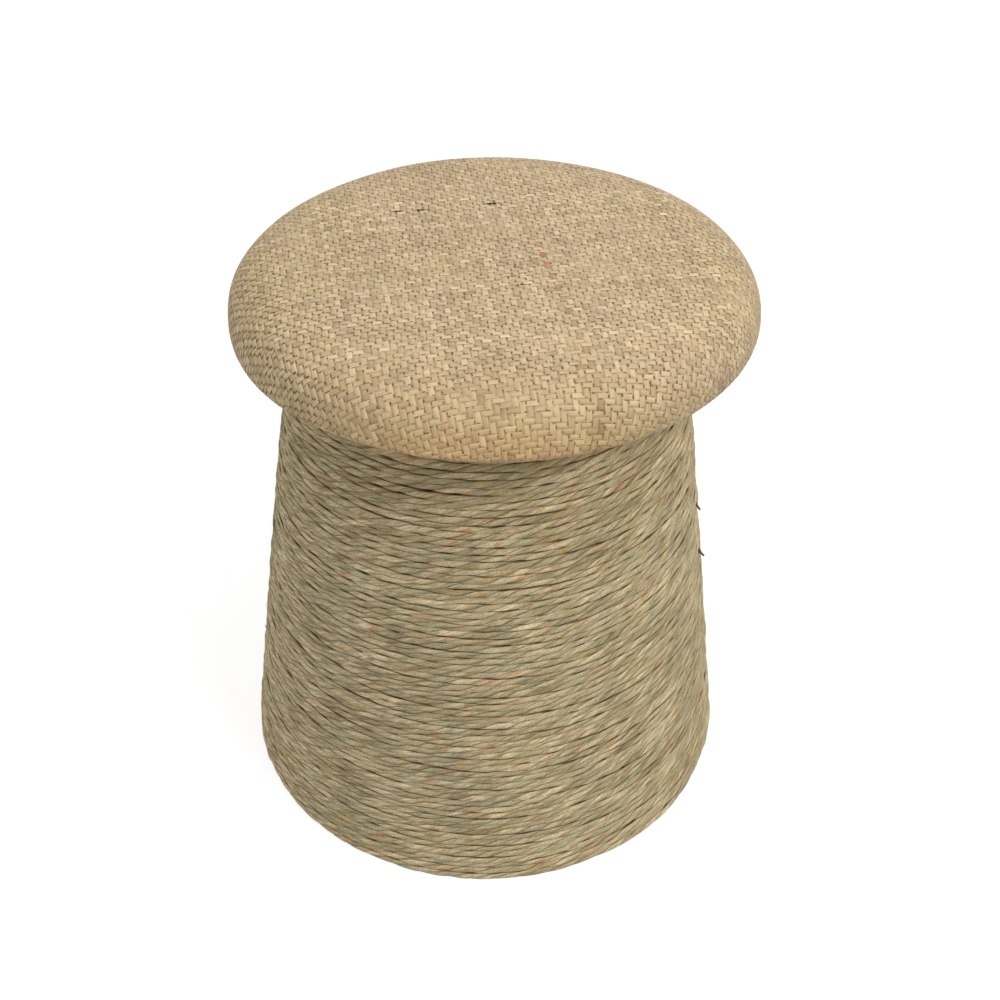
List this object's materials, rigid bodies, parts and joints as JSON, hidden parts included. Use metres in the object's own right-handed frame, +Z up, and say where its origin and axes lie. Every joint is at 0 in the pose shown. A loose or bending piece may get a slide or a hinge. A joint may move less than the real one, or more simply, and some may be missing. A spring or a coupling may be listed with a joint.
{
  "type": "mudda stool",
  "caption": "Low round stool: a padded round seat in a twill-woven mat cover on a tapered drum of staves wound in twisted grass cord.",
  "frame": {"origin": "on the floor at the middle of the drum, which is the bottom centre of the bounding box", "axes": "+Z up along the drum's axis; -Y is the side that the picture shows; the seat sits 4.9 mm off centre towards +X"},
  "size_m": [0.3978, 0.3978, 0.45],
  "materials": {
    "woven_mat": "matte flat split strips in a 2/2 twill, straw coloured",
    "grass_cord": "matte twisted grass, grey green to tan",
    "foam": "open upholstery foam",
    "plywood": "sanded plywood, unvarnished",
    "stave_wood": "planed softwood, unvarnished",
    "glide_nylon": "matte nylon",
    "zinc_steel": "zinc plated steel"
  },
  "bodies": {
    "root": {"seat_cover": "woven_mat", "seat_foam": "foam", "seat_board": "plywood", "top_board": "plywood", "mid_ring": "plywood", "base_ring": "plywood", "cord_winding": "grass_cord", "stave_01": "stave_wood", "stave_02": "stave_wood", "stave_03": "stave_wood", "stave_04": "stave_wood", "stave_05": "stave_wood", "stave_06": "stave_wood", "stave_07": "stave_wood", "stave_08": "stave_wood", "stave_09": "stave_wood", "stave_10": "stave_wood", "stave_11": "stave_wood", "stave_12": "stave_wood", "stave_13": "stave_wood", "stave_14": "stave_wood", "stave_15": "stave_wood", "stave_16": "stave_wood", "stave_17": "stave_wood", "stave_18": "stave_wood", "stave_19": "stave_wood", "stave_20": "stave_wood", "stave_21": "stave_wood", "stave_22": "stave_wood", "stave_23": "stave_wood", "stave_24": "stave_wood", "glide_1": "glide_nylon", "glide_2": "glide_nylon", "glide_3": "glide_nylon", "glide_4": "glide_nylon", "glide_5": "glide_nylon", "glide_6": "glide_nylon", "glide_pin_1": "zinc_steel", "glide_pin_2": "zinc_steel", "glide_pin_3": "zinc_steel", "glide_pin_4": "zinc_steel", "glide_pin_5": "zinc_steel", "glide_pin_6": "zinc_steel", "seat_screw_1": "zinc_steel", "seat_screw_2": "zinc_steel", "seat_screw_3": "zinc_steel", "seat_screw_4": "zinc_steel", "seat_washer_1": "zinc_steel", "seat_washer_2": "zinc_steel", "seat_washer_3": "zinc_steel", "seat_washer_4": "zinc_steel"}
  },
  "joints": []
}
